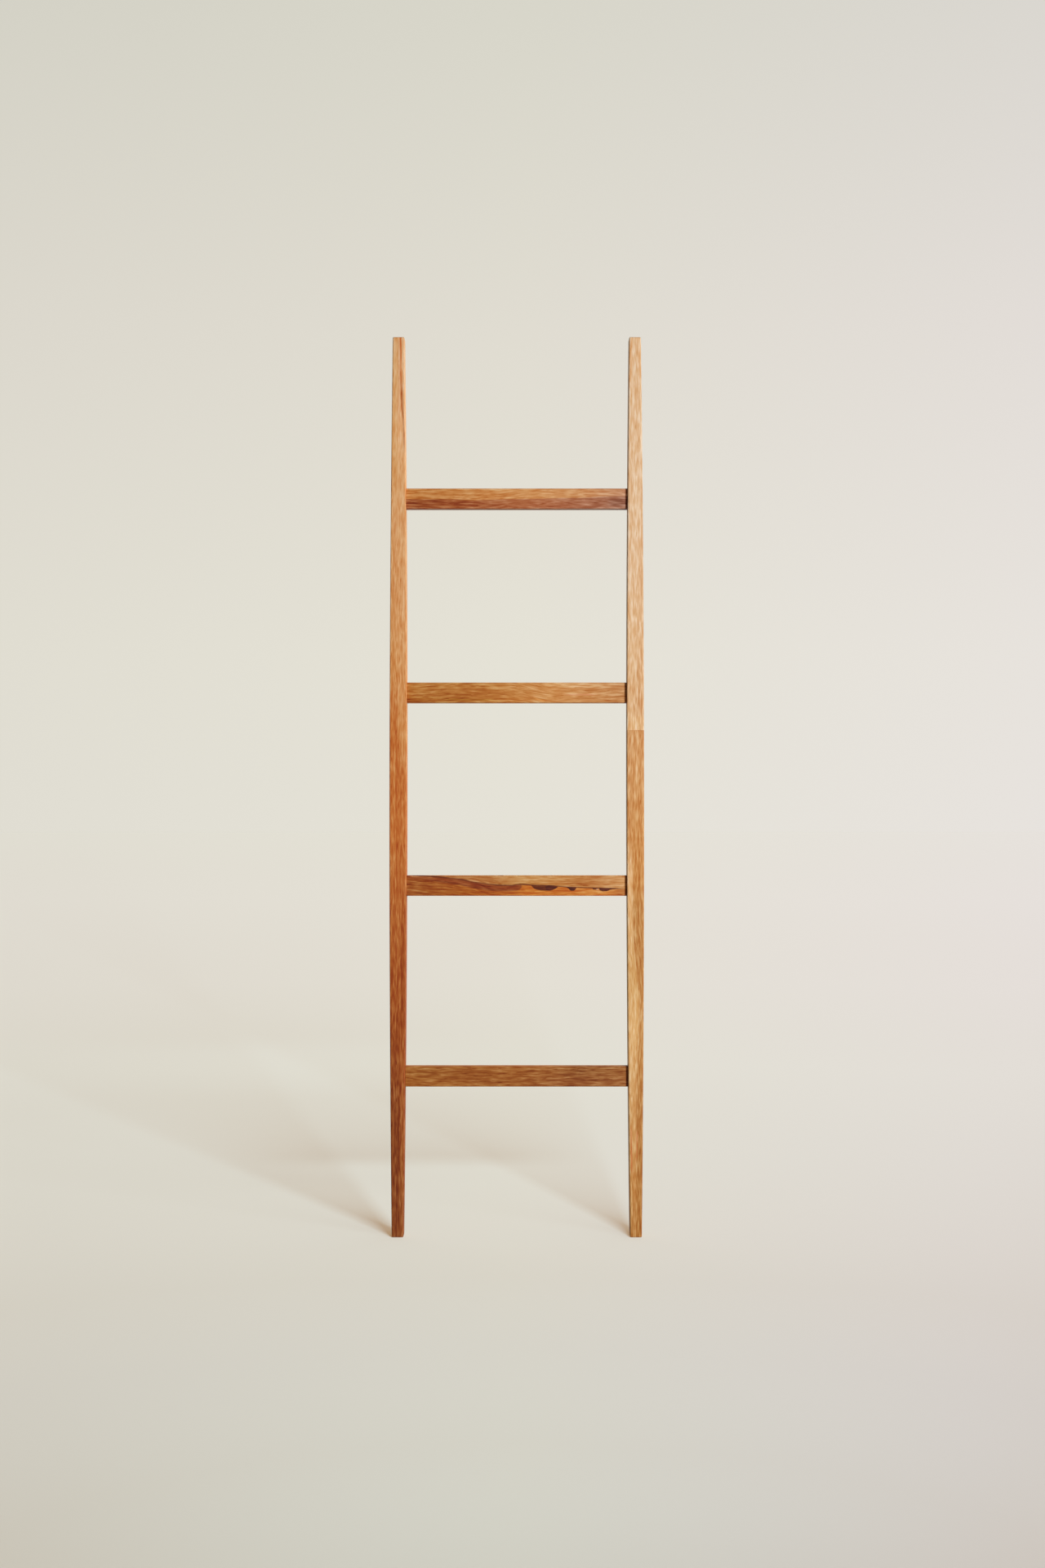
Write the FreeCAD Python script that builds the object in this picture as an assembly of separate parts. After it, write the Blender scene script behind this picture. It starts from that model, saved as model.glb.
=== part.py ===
import FreeCAD
import Part
import math
import os

# Blanket ladder: two tall rails, each bowed out at mid height and narrow at its ends, and four flat rungs
# between them on hidden dowels. The right rail is glued up from two lengths with a finger joint.
#
# Millimetres. X runs to the right seen from the front, Y towards the wall, Z up.
# The origin is on the floor, midway between the feet and midway through the rails' depth.

# Rails, by their widths seen from the front
RAIL_LENGTH = 1700.0
RAIL_SPACING = 448.5
RAIL_END_WIDTH = 22.0
RAIL_EDGE_BOW = 5.25
RAIL_DEPTH = 35.0
RAIL_EDGE_ROUND = 2.0

# Rungs, by the heights of their centre lines
FLOOR_TO_LOWEST_RUNG = 301.0
RUNG_PITCHES = (359.5, 365.0, 368.5)
RUNG_HEIGHT = 38.5
RUNG_THICKNESS = 20.0
RUNG_EDGE_ROUND = 1.5
RUNG_END_ROUND = 0.4

# Finger joint across the right rail, whose line shows straight on the front and back
RUNG_COUNT_BELOW_JOINT = 2
JOINT_BELOW_NEXT_RUNG = 71.5
JOINT_SHOULDER = 2.5
FINGER_COUNT = 6
FINGER_LENGTH = 10.0
FINGER_TIP = 1.0

# Dowels, two at each end of a rung
DOWEL_DIAMETER = 8.0
DOWEL_LENGTH = 40.0
DOWEL_IN_RAIL = 16.0
DOWEL_TO_RUNG_EDGE = 10.0
DOWEL_CHAMFER = 1.0
FLUTE_COUNT = 12
FLUTE_RADIUS = 0.6
FLUTE_DEPTH = 0.3

# Clearances
GLUE_GAP = 0.05
HOLE_SPARE_DEPTH = 1.0

# How far a cutting shape runs past what it cuts
CUT_MARGIN = 10.0

# Worked out from the sizes above
MID_HEIGHT = RAIL_LENGTH / 2
RAIL_BOW_RADIUS = (MID_HEIGHT**2 + RAIL_EDGE_BOW**2) / (2 * RAIL_EDGE_BOW)
RUNG_CENTRES = [FLOOR_TO_LOWEST_RUNG + sum(RUNG_PITCHES[:n]) for n in range(len(RUNG_PITCHES) + 1)]
JOINT_HEIGHT = RUNG_CENTRES[RUNG_COUNT_BELOW_JOINT] - JOINT_BELOW_NEXT_RUNG
SIDES = {"left": -1, "right": 1}
LEVELS = {"lower": -1, "upper": 1}


def rail_half_width(height):
    """Half the rail's width at a height, where each edge is one long arc."""
    fall = RAIL_BOW_RADIUS - math.sqrt(RAIL_BOW_RADIUS**2 - (height - MID_HEIGHT) ** 2)
    return RAIL_END_WIDTH / 2 + RAIL_EDGE_BOW - fall


def swept(outline_edges, sweep):
    """The solid that a closed flat outline makes when it is swept along a straight line."""
    return Part.Face(Part.Wire(outline_edges)).extrude(sweep)


def square_edged_rail(side):
    """One rail as it is sawn, before its edges are rounded."""
    centre = side * RAIL_SPACING / 2
    front = -RAIL_DEPTH / 2

    def corner(across, height):
        return FreeCAD.Vector(centre + across * rail_half_width(height), front, height)

    def bowed_edge(across):
        ends = corner(across, 0), corner(across, RAIL_LENGTH)
        return Part.Arc(ends[0], corner(across, MID_HEIGHT), ends[1]).toShape()

    foot = Part.makeLine(corner(-1, 0), corner(1, 0))
    top = Part.makeLine(corner(1, RAIL_LENGTH), corner(-1, RAIL_LENGTH))
    return swept([foot, bowed_edge(1), top, bowed_edge(-1)], FreeCAD.Vector(0, RAIL_DEPTH, 0))


def rounded_rail(side):
    """One rail with every edge eased, those of its foot and its top too."""
    rail = square_edged_rail(side)
    return rail.makeFillet(RAIL_EDGE_ROUND, rail.Edges)


def rung(centre_height):
    """One rung, with its ends shaped to the bowed inner faces of the rails."""
    corner = FreeCAD.Vector(-RAIL_SPACING / 2, -RUNG_THICKNESS / 2, centre_height - RUNG_HEIGHT / 2)
    board = Part.makeBox(RAIL_SPACING, RUNG_THICKNESS, RUNG_HEIGHT, corner)
    long_edges = [edge for edge in board.Edges if edge.BoundBox.XLength > RAIL_SPACING / 2]
    board = board.makeFillet(RUNG_EDGE_ROUND, long_edges)
    board = board.cut([square_edged_rail(side) for side in SIDES.values()])
    end_edges = [edge for edge in board.Edges if edge.BoundBox.XLength < RAIL_END_WIDTH]
    return board.makeFillet(RUNG_END_ROUND, end_edges)


def dowel_height(centre_height, level):
    """The height of a dowel's axis, below or above the middle of its rung."""
    return centre_height + level * (RUNG_HEIGHT / 2 - DOWEL_TO_RUNG_EDGE)


def along_dowel(side, height, inward):
    """A point on a dowel's axis, so far inward from the rail's inner face."""
    inner_face = RAIL_SPACING / 2 - rail_half_width(height)
    return FreeCAD.Vector(side * (inner_face - inward), 0, height)


def dowel_hole(side, height):
    """The space bored for one dowel, in the rail and the rung together."""
    start = along_dowel(side, height, -DOWEL_IN_RAIL - HOLE_SPARE_DEPTH)
    bore = DOWEL_LENGTH + 2 * HOLE_SPARE_DEPTH
    return Part.makeCylinder(DOWEL_DIAMETER / 2 + GLUE_GAP, bore, start, FreeCAD.Vector(-side, 0, 0))


def dowel(side, height):
    """One fluted dowel with chamfered ends, in its place."""
    start = along_dowel(side, height, -DOWEL_IN_RAIL)
    inward = FreeCAD.Vector(-side, 0, 0)
    pin = Part.makeCylinder(DOWEL_DIAMETER / 2, DOWEL_LENGTH, start, inward)
    rims = [edge for edge in pin.Edges if isinstance(edge.Curve, Part.Circle)]
    pin = pin.makeChamfer(DOWEL_CHAMFER, rims)
    flute_offset = DOWEL_DIAMETER / 2 + FLUTE_RADIUS - FLUTE_DEPTH
    flutes = []
    for number in range(FLUTE_COUNT):
        turn = 2 * math.pi * (number + 0.5) / FLUTE_COUNT
        sideways = FreeCAD.Vector(0, math.cos(turn), math.sin(turn)) * flute_offset
        flutes.append(Part.makeCylinder(FLUTE_RADIUS, DOWEL_LENGTH, start + sideways, inward))
    return pin.cut(flutes)


def space_above_joint():
    """Everything above the finger joint, with the upper length's side of the fingers as its underside."""
    pitch = (RAIL_DEPTH - 2 * JOINT_SHOULDER) / FINGER_COUNT
    flank = (pitch - 2 * FINGER_TIP) / 2
    half_width = RAIL_END_WIDTH / 2 + RAIL_EDGE_BOW + CUT_MARGIN
    reach = RAIL_DEPTH / 2 + CUT_MARGIN
    ceiling = RAIL_LENGTH + CUT_MARGIN - JOINT_HEIGHT
    profile = [(-reach, 0)]
    root = -RAIL_DEPTH / 2 + JOINT_SHOULDER
    for _ in range(FINGER_COUNT):
        profile.append((root + FINGER_TIP / 2, 0))
        profile.append((root + FINGER_TIP / 2 + flank, FINGER_LENGTH))
        profile.append((root + pitch - FINGER_TIP / 2 - flank, FINGER_LENGTH))
        profile.append((root + pitch - FINGER_TIP / 2, 0))
        root += pitch
    profile += [(reach, 0), (reach, ceiling), (-reach, ceiling)]
    left = RAIL_SPACING / 2 - half_width
    points = [FreeCAD.Vector(left, depth, JOINT_HEIGHT + rise) for depth, rise in profile]
    outline = Part.makePolygon(points + points[:1])
    return swept(outline.Edges, FreeCAD.Vector(2 * half_width, 0, 0))


def build():
    """Every piece of the ladder by its name."""
    rails = {name: rounded_rail(side) for name, side in SIDES.items()}
    pieces = {}
    for number, centre_height in enumerate(RUNG_CENTRES, start=1):
        board = rung(centre_height)
        for side_name, side in SIDES.items():
            for level_name, level in LEVELS.items():
                height = dowel_height(centre_height, level)
                hole = dowel_hole(side, height)
                board = board.cut(hole)
                rails[side_name] = rails[side_name].cut(hole)
                pieces[f"rung_{number}_dowel_{side_name}_{level_name}"] = dowel(side, height)
        pieces[f"rung_{number}"] = board
    above_joint = space_above_joint()
    pieces["left_rail"] = rails["left"]
    pieces["right_rail_lower"] = rails["right"].cut(above_joint)
    pieces["right_rail_upper"] = rails["right"].common(above_joint)
    return pieces


os.makedirs("parts", exist_ok=True)
for piece_name, piece in build().items():
    piece.exportStep(f"parts/{piece_name}.step")
    print(piece_name, len(piece.Solids), round(piece.Volume, 1), piece.isValid())
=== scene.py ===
"""Looks of the blanket ladder: seven finely shaped boards of oiled hardwood in a plain pale studio.

Metres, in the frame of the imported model: X to the right seen from the front, Y towards the wall, Z up. Only the
figure of a wood is drawn in millimetres. Colours are written as they look, red, green and blue from 0 to 255.
"""

import logging
import math
from collections.abc import Callable, Iterator
from contextlib import contextmanager
from dataclasses import dataclass
from enum import Enum
from functools import partial, reduce

import bmesh
import bpy
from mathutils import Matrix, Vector


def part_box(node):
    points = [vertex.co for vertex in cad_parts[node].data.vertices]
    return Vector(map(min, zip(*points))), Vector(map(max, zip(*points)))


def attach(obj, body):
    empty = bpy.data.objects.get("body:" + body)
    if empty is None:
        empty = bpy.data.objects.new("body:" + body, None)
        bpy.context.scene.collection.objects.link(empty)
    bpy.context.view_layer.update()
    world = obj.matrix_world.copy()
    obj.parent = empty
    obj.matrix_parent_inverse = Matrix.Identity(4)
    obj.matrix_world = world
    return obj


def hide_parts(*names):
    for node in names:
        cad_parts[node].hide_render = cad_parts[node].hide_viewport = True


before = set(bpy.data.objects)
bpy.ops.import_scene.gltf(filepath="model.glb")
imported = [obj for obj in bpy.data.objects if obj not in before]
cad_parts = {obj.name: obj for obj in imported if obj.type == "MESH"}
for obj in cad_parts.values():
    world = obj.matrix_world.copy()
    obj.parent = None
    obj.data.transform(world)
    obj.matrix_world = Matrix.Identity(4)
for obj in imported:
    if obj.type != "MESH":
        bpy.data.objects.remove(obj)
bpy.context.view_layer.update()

LOG = logging.getLogger("blanket_ladder")

Colour = tuple[int, int, int]
Tones = tuple[tuple[float, Colour], ...]
Points = tuple[tuple[float, float], ...]
Socket = bpy.types.NodeSocket
Value = Socket | float
Linear = tuple[float, float, float, float]
Place = tuple[float, float, float]

WHITE: Linear = (1.0, 1.0, 1.0, 1.0)
# A millimetre, the unit that the figures of the woods are drawn in
MM = 0.001
# How near two places are the same, in metres
EPSILON = 1e-5
# The linear light that an oiled surface adds to its wood, and the least that is left for the wood itself
OIL_SHEEN, LEAST_LIGHT = 0.012, 0.001
# The furthest that a drawn line may lie from a board's middle, in millimetres
LINE_REACH = 20.0
# The least angles that stay sharp when a piece is shaded, and that are rounded as its arrises
SHARP_FROM, ARRIS_FROM = math.radians(32), math.radians(30)


def linear(colour: Colour) -> Linear:
    """Turns a colour as it looks into the linear values that a node takes.

    Args:
        colour: Red, green and blue from 0 to 255.

    Returns:
        Linear red, green, blue and an alpha of 1.
    """
    shares = (value / 255 for value in colour)
    red, green, blue = (s / 12.92 if s <= 0.04045 else ((s + 0.055) / 1.055) ** 2.4 for s in shares)
    return red, green, blue, 1.0


def under_oil(colour: Colour) -> Linear:
    """Turns a wood's colour as it looks into the colour below its oiled surface, whose sheen lightens it.

    Args:
        colour: Red, green and blue from 0 to 255.

    Returns:
        Linear red, green, blue and an alpha of 1.
    """
    red, green, blue, alpha = linear(colour)
    red, green, blue = (max(light - OIL_SHEEN, LEAST_LIGHT) for light in (red, green, blue))
    return red, green, blue, alpha


# ---------------------------------------------------------------- shaping in edit mode


def deselect_everything() -> None:
    """Leaves no object selected."""
    bpy.ops.object.select_all(action="DESELECT")


def only(piece: bpy.types.Object) -> None:
    """Makes one object the only selected one, and the active one.

    Args:
        piece: The object to work on.
    """
    deselect_everything()
    piece.select_set(True)
    bpy.context.view_layer.objects.active = piece


@contextmanager
def editing(piece: bpy.types.Object, mode: str = "EDGE") -> Iterator[None]:
    """Holds one object in edit mode with nothing of it selected.

    Args:
        piece: The object to edit.
        mode: What is selected: VERT, EDGE or FACE.
    """
    only(piece)
    bpy.ops.object.mode_set(mode="EDIT")
    bpy.ops.mesh.select_mode(type=mode)
    bpy.ops.mesh.select_all(action="DESELECT")
    yield
    bpy.ops.object.mode_set(mode="OBJECT")


def pick(piece: bpy.types.Object, kind: str, wanted: Callable[[list[Vector]], bool]) -> None:
    """Selects the vertices, edges or faces of the object in edit mode that lie where they are wanted.

    Args:
        piece: The object in edit mode.
        kind: "verts", "edges" or "faces".
        wanted: Says of an element's corner points whether it is wanted.
    """
    mesh = bmesh.from_edit_mesh(piece.data)
    for element in getattr(mesh, kind):
        corners = [element.co] if kind == "verts" else [vertex.co for vertex in element.verts]
        if wanted(corners):
            element.select_set(True)
    mesh.select_flush_mode()
    bmesh.update_edit_mesh(piece.data)


def settle() -> None:
    """Puts the active object's place, turn and size into its mesh."""
    bpy.ops.object.transform_apply(location=True, rotation=True, scale=True)


def round_edges(radius: float, segments: int) -> None:
    """Rounds the selected edges of the object in edit mode."""
    bpy.ops.mesh.bevel(offset=radius, offset_type="OFFSET", segments=segments, profile=0.5, affect="EDGES")


def block(name: str, low: Vector, high: Vector) -> bpy.types.Object:
    """Adds a rectangular blank between two corners, with its place in its mesh.

    Args:
        name: The new object's name.
        low: Lowest corner.
        high: Highest corner.

    Returns:
        The blank.
    """
    deselect_everything()
    bpy.ops.mesh.primitive_cube_add(size=1.0, location=(low + high) / 2, scale=high - low)
    blank = bpy.context.object
    blank.name = name
    settle()
    return blank


def twin(piece: bpy.types.Object, name: str) -> bpy.types.Object:
    """Copies an object with a mesh of its own.

    Args:
        piece: What to copy.
        name: The copy's name.

    Returns:
        The copy.
    """
    only(piece)
    bpy.ops.object.duplicate(linked=False)
    copy = bpy.context.object
    copy.name = name
    return copy


def cut(piece: bpy.types.Object, tool: bpy.types.Object, operation: str = "DIFFERENCE") -> None:
    """Cuts a piece with another solid, which stays as it is.

    Args:
        piece: The piece to cut.
        tool: The cutting solid.
        operation: DIFFERENCE takes the tool's space away, and INTERSECT keeps only that space.
    """
    only(piece)
    modifier = piece.modifiers.new("cut", "BOOLEAN")
    modifier.operation = operation
    modifier.solver = "EXACT"
    modifier.object = tool
    bpy.ops.object.modifier_apply(modifier=modifier.name)


def discard(piece: bpy.types.Object) -> None:
    """Removes a cutting solid once it has done its work."""
    bpy.data.objects.remove(piece, do_unlink=True)


def smooth(piece: bpy.types.Object) -> None:
    """Shades a piece smooth except over sharp edges, and keeps its flats flat beside its rounds.

    Args:
        piece: The finished piece.
    """
    only(piece)
    bpy.ops.object.shade_smooth_by_angle(angle=SHARP_FROM)
    modifier = piece.modifiers.new("flats", "WEIGHTED_NORMAL")
    modifier.keep_sharp = True
    modifier.weight = 80
    bpy.ops.object.modifier_apply(modifier=modifier.name)


# ---------------------------------------------------------------- node helpers

# The sockets of a Mix node that mixes colours: its amount and its two colours, and its result
MIX_INPUTS, MIX_RESULT = (0, 6, 7), 2
# How nodes are laid out: so many in a row, and so far from one to the next
ROW, STEP_RIGHT, STEP_DOWN = 12, 180, 220


class Nodes:
    """Adds nodes to one tree and joins them."""

    def __init__(self, tree: bpy.types.NodeTree) -> None:
        """Starts on the emptied tree of a material, a world, a lamp or a group."""
        self.tree = tree
        tree.nodes.clear()

    def add(self, kind: str, **settings: object) -> bpy.types.Node:
        """Adds one node.

        Args:
            kind: The node's type, without its ShaderNode prefix.
            settings: Properties to set on it.

        Returns:
            The node.
        """
        prefix = "" if kind.startswith("NodeGroup") else "ShaderNode"
        node = self.tree.nodes.new(prefix + kind)
        down, right = divmod(len(self.tree.nodes), ROW)
        node.location = (STEP_RIGHT * right, -STEP_DOWN * down)
        for name, value in settings.items():
            setattr(node, name, value)
        return node

    def feed(self, socket: Socket, value: object) -> None:
        """Gives an input a constant, or joins it to another node's output.

        Args:
            socket: The input.
            value: A constant or an output socket.
        """
        if isinstance(value, bpy.types.NodeSocket):
            self.tree.links.new(value, socket)
        else:
            socket.default_value = value

    def give(self, node: bpy.types.Node, *values: object, **named: object) -> Socket:
        """Gives a node its inputs, in order or by name.

        Args:
            node: The node.
            values: Constants or outputs for its first inputs.
            named: Constants or outputs by the names of their inputs, with _ for a space.

        Returns:
            The node's first output.
        """
        for socket, value in zip(node.inputs, values):
            self.feed(socket, value)
        for name, value in named.items():
            self.feed(node.inputs[name.replace("_", " ")], value)
        return node.outputs[0]

    def put_out(self, kind: str, result: Socket) -> None:
        """Makes a shader the result of the tree, by an output node of a kind."""
        self.feed(self.add(kind).inputs["Surface"], result)

    def where(self, kind: str = "Object") -> tuple[Socket, Socket, Socket]:
        """Gives the three coordinates of the point that is shaded, of a kind that TexCoord has."""
        split = self.add("SeparateXYZ")
        self.give(split, self.add("TexCoord").outputs[kind])
        return tuple(split.outputs)

    def math(self, operation: str, *values: Value) -> Socket:
        """Does one sum with a Math node."""
        return self.give(self.add("Math", operation=operation), *values)

    def total(self, *values: Value) -> Socket:
        """Adds several values."""
        return reduce(partial(self.math, "ADD"), values)

    def times(self, *values: Value) -> Socket:
        """Multiplies several values."""
        return reduce(partial(self.math, "MULTIPLY"), values)

    def minus(self, value: Value, less: Value) -> Socket:
        """Takes a value from another."""
        return self.math("SUBTRACT", value, less)

    def unsigned(self, value: Value) -> Socket:
        """Gives a value without its sign."""
        return self.math("ABSOLUTE", value)

    def distance(self, first: Value, second: Value) -> Socket:
        """Gives the distance to a point that lies so far off in two directions at right angles."""
        return self.math("SQRT", self.total(self.times(first, first), self.times(second, second)))

    def ease(self, value: Value, start: Value, end: Value, low: Value = 0.0, high: Value = 1.0) -> Socket:
        """Goes smoothly from low to high while a value goes from start to end."""
        return self.give(self.add("MapRange", interpolation_type="SMOOTHSTEP"), value, start, end, low, high)

    def spread(self, value: Value, start: float, end: float, low: float = 0.0, high: float = 1.0) -> Socket:
        """Goes straight from low to high while a value goes from start to end."""
        return self.give(self.add("MapRange", clamp=True), value, start, end, low, high)

    def swing(self, value: Value, start: float, end: float, width: float) -> Socket:
        """Goes straight from half a width below nothing to half a width above it."""
        return self.spread(value, start, end, -0.5 * width, 0.5 * width)

    def noise(self, x: Value, y: Value, z: Value, detail: float, roughness: float = 0.5) -> Socket:
        """Reads a soft random pattern at a point that is already scaled.

        Args:
            x: The point's first value.
            y: The point's second value.
            z: The point's third value.
            detail: How many finer layers are added.
            roughness: How strong they are.

        Returns:
            The pattern, about 0.5 on average.
        """
        point = self.give(self.add("CombineXYZ"), x, y, z)
        return self.give(self.add("TexNoise", noise_dimensions="3D"), Vector=point, Scale=1.0, Detail=detail,
                         Roughness=roughness)

    def mix(self, amount: Value, first: object, second: object, blend: str = "MIX") -> Socket:
        """Mixes two colours.

        Args:
            amount: 0 gives the first, and 1 the second or what the blend makes of both.
            first: A colour or a colour output.
            second: A colour or a colour output.
            blend: The Mix node's blend type.

        Returns:
            The mixed colour.
        """
        node = self.add("Mix", data_type="RGBA", blend_type=blend)
        for number, value in zip(MIX_INPUTS, (amount, first, second)):
            self.feed(node.inputs[number], value)
        return node.outputs[MIX_RESULT]

    def tint(self, colour: Socket, by: Socket) -> Socket:
        """Multiplies a colour by another."""
        return self.mix(1.0, colour, by, "MULTIPLY")

    def tones(self, place: Value, tones: Tones, unit: float = 1.0,
              turn: Callable[[Colour], Linear] = linear) -> Socket:
        """Runs through colours along a line.

        Args:
            place: Where along the line.
            tones: Places and the colours there.
            unit: What the places are multiplied by.
            turn: Turns each colour as it looks into the one to use.

        Returns:
            The colour.
        """
        first, last = tones[0][0], tones[-1][0]
        ramp = self.add("ValToRGB")
        stops = ramp.color_ramp.elements
        while len(stops) < len(tones):
            stops.new(0.5)
        for stop, (where, colour) in zip(stops, tones):
            stop.position = (where - first) / (last - first)
            stop.color = turn(colour)
        return self.give(ramp, self.spread(place, first * unit, last * unit))

    def line(self, along: Value, points: Points) -> Socket:
        """Follows a smooth line drawn along a board, no further from its middle than LINE_REACH.

        Args:
            along: Where along the board, in metres.
            points: Places along the board and how far across it the line lies there, in millimetres.

        Returns:
            How far across the board the line lies, in metres.
        """
        first, last = points[0][0], points[-1][0]
        curve = self.add("FloatCurve")
        drawn = curve.mapping.curves[0].points
        spots = [((where - first) / (last - first), 0.5 + across / (2 * LINE_REACH)) for where, across in points]
        drawn[0].location, drawn[-1].location = spots[0], spots[-1]
        for spot in spots[1:-1]:
            drawn.new(*spot)
        for handle in drawn:
            handle.handle_type = "AUTO_CLAMPED"
        curve.mapping.update()
        share = self.give(curve, Factor=1.0, Value=self.spread(along, first * MM, last * MM))
        return self.spread(share, 0.0, 1.0, -LINE_REACH * MM, LINE_REACH * MM)

    def use(self, effect: "Effect", *values: object) -> list[Socket]:
        """Places a shared effect.

        Args:
            effect: The effect.
            values: Values for its inputs, in order.

        Returns:
            Its outputs.
        """
        node = self.add("Group", node_tree=effect.tree())
        self.give(node, *values)
        return list(node.outputs)

    def wood(self, colour: Socket, rough: Socket, relief: Socket, strength: float, height: float) -> bpy.types.Node:
        """Makes a wood's surface, as the material's result.

        Args:
            colour: The wood's colour.
            rough: How rough it is.
            relief: The pattern of its fine relief.
            strength: How strongly the relief shows.
            height: How high the relief is, in metres.

        Returns:
            The surface's shader node.
        """
        bump = self.give(self.add("Bump"), Strength=strength, Distance=height, Height=relief)
        shader = self.add("BsdfPrincipled")
        self.put_out("OutputMaterial", self.give(shader, Base_Color=colour, Roughness=rough, Normal=bump))
        return shader


def new_material(name: str) -> tuple[bpy.types.Material, Nodes]:
    """Starts a material, and gives it with its nodes."""
    material = bpy.data.materials.new(name)
    material.use_nodes = True
    return material, Nodes(material.node_tree)


@dataclass(frozen=True)
class Effect:
    """A shader node group that several finishes use, built the first time it is asked for."""

    name: str
    inputs: tuple[str, ...]
    outputs: tuple[str, ...]
    build: Callable[..., tuple[Socket, ...]]
    kind: str = "Float"

    def tree(self) -> bpy.types.NodeTree:
        """Gives the group, and builds it if it isn't there yet.

        Returns:
            The node group.
        """
        made = bpy.data.node_groups.get(self.name)
        if made is not None:
            return made
        made = bpy.data.node_groups.new(self.name, "ShaderNodeTree")
        for name in self.inputs:
            made.interface.new_socket(name=name, in_out="INPUT", socket_type=f"NodeSocket{self.kind}")
        for name in self.outputs:
            made.interface.new_socket(name=name, in_out="OUTPUT", socket_type="NodeSocketFloat")
        nodes = Nodes(made)
        entry = nodes.add("NodeGroupInput")
        leave = nodes.add("NodeGroupOutput")
        results = self.build(nodes, *(entry.outputs[name] for name in self.inputs))
        for name, result in zip(self.outputs, results):
            nodes.feed(leave.inputs[name], result)
        return made


@dataclass(frozen=True)
class Pattern:
    """A random pattern drawn out along a board, so many times to the metre across it and along it."""

    wide: float
    long: float
    detail: float
    roughness: float = 0.5

    def read(self, nodes: Nodes, across: Socket, depth: Socket, seeded: Socket) -> Socket:
        """Reads the pattern at a point, about 0.5 on average."""
        return nodes.noise(nodes.times(across, self.wide), nodes.times(depth, self.wide),
                           nodes.times(seeded, self.long), self.detail, self.roughness)


DRIFT = Pattern(12.0, 3.2, 1.0)
FRAY = Pattern(260.0, 14.0, 3.0, 0.6)
BANDS = Pattern(170.0, 4.5, 2.0)
FIBRE = Pattern(420.0, 16.0, 3.0, 0.6)
FLECKS = Pattern(330.0, 44.0, 1.5, 0.55)
DASHES = Pattern(560.0, 56.0, 1.0)


def build_wander(nodes: Nodes, across: Socket, depth: Socket, along: Socket, seed: Socket, drift: Socket,
                 fray: Socket) -> tuple[Socket, ...]:
    """Shifts a board's grain sideways by a slow drift, and its edges by a fine one.

    Args:
        nodes: The effect's nodes.
        across: How far across the board the point lies.
        depth: How far back it lies.
        along: How far along the board it lies.
        seed: What sets this board's pattern apart.
        drift: How far the slow drift goes.
        fray: How far the fine one goes.

    Returns:
        How far across the grain lies, and the ragged edges.
    """
    seeded = nodes.total(along, seed)
    slow, fine = (pattern.read(nodes, across, depth, seeded) for pattern in (DRIFT, FRAY))
    return (nodes.total(across, nodes.times(nodes.minus(slow, 0.5), drift)),
            nodes.total(across, nodes.times(nodes.minus(fine, 0.5), fray)))


def build_rings(nodes: Nodes, across: Socket, depth: Socket, along: Socket, pith_across: Socket, pith_depth: Socket,
                ring_width: Socket, seed: Socket) -> tuple[Socket, ...]:
    """Cuts through growth rings of uneven width and strength, round a pith that lies beside the board.

    Args:
        nodes: The effect's nodes.
        across: How far across the board the point lies.
        depth: How far back it lies.
        along: How far along the board it lies.
        pith_across: How far across the pith lies.
        pith_depth: How far back it lies.
        ring_width: How wide the rings are.
        seed: What sets this board's pattern apart.

    Returns:
        How much of the point is the dark late wood of a ring.
    """
    behind = nodes.minus(depth, pith_depth)
    radius = nodes.distance(nodes.minus(across, pith_across), behind)
    seeded = nodes.total(along, seed)
    uneven = nodes.noise(nodes.times(radius, 130.0), nodes.times(behind, 30.0), nodes.times(seeded, 2.6), 2.0)
    turns = nodes.total(nodes.math("DIVIDE", radius, ring_width), nodes.times(nodes.minus(uneven, 0.5), 2.2))
    share = nodes.math("FRACT", turns)
    rise = nodes.ease(share, 0.15, 0.86)
    fall = nodes.ease(share, 0.88, 1.0, 1.0, 0.0)
    strength = nodes.noise(nodes.math("FLOOR", turns), 3.7, nodes.times(seeded, 1.3), 1.0)
    return (nodes.times(rise, fall, nodes.ease(strength, 0.3, 0.7, 0.25, 1.0)),)


def build_fibres(nodes: Nodes, across: Socket, depth: Socket, along: Socket, seed: Socket) -> tuple[Socket, ...]:
    """Draws broad bands, fibres and flecks, and the short open pores between them.

    Args:
        nodes: The effect's nodes.
        across: How far across the board the point lies.
        depth: How far back it lies.
        along: How far along the board it lies.
        seed: What sets this board's pattern apart.

    Returns:
        The bands, the fibres, the flecks and the pores.
    """
    seeded = nodes.total(along, seed)
    bands, fibre, flecks, dashes = (pattern.read(nodes, across, depth, seeded)
                                    for pattern in (BANDS, FIBRE, FLECKS, DASHES))
    pores = nodes.times(nodes.ease(dashes, 0.6, 0.7), nodes.ease(bands, 0.35, 0.6, 0.35, 1.0))
    return bands, fibre, flecks, pores


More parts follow.
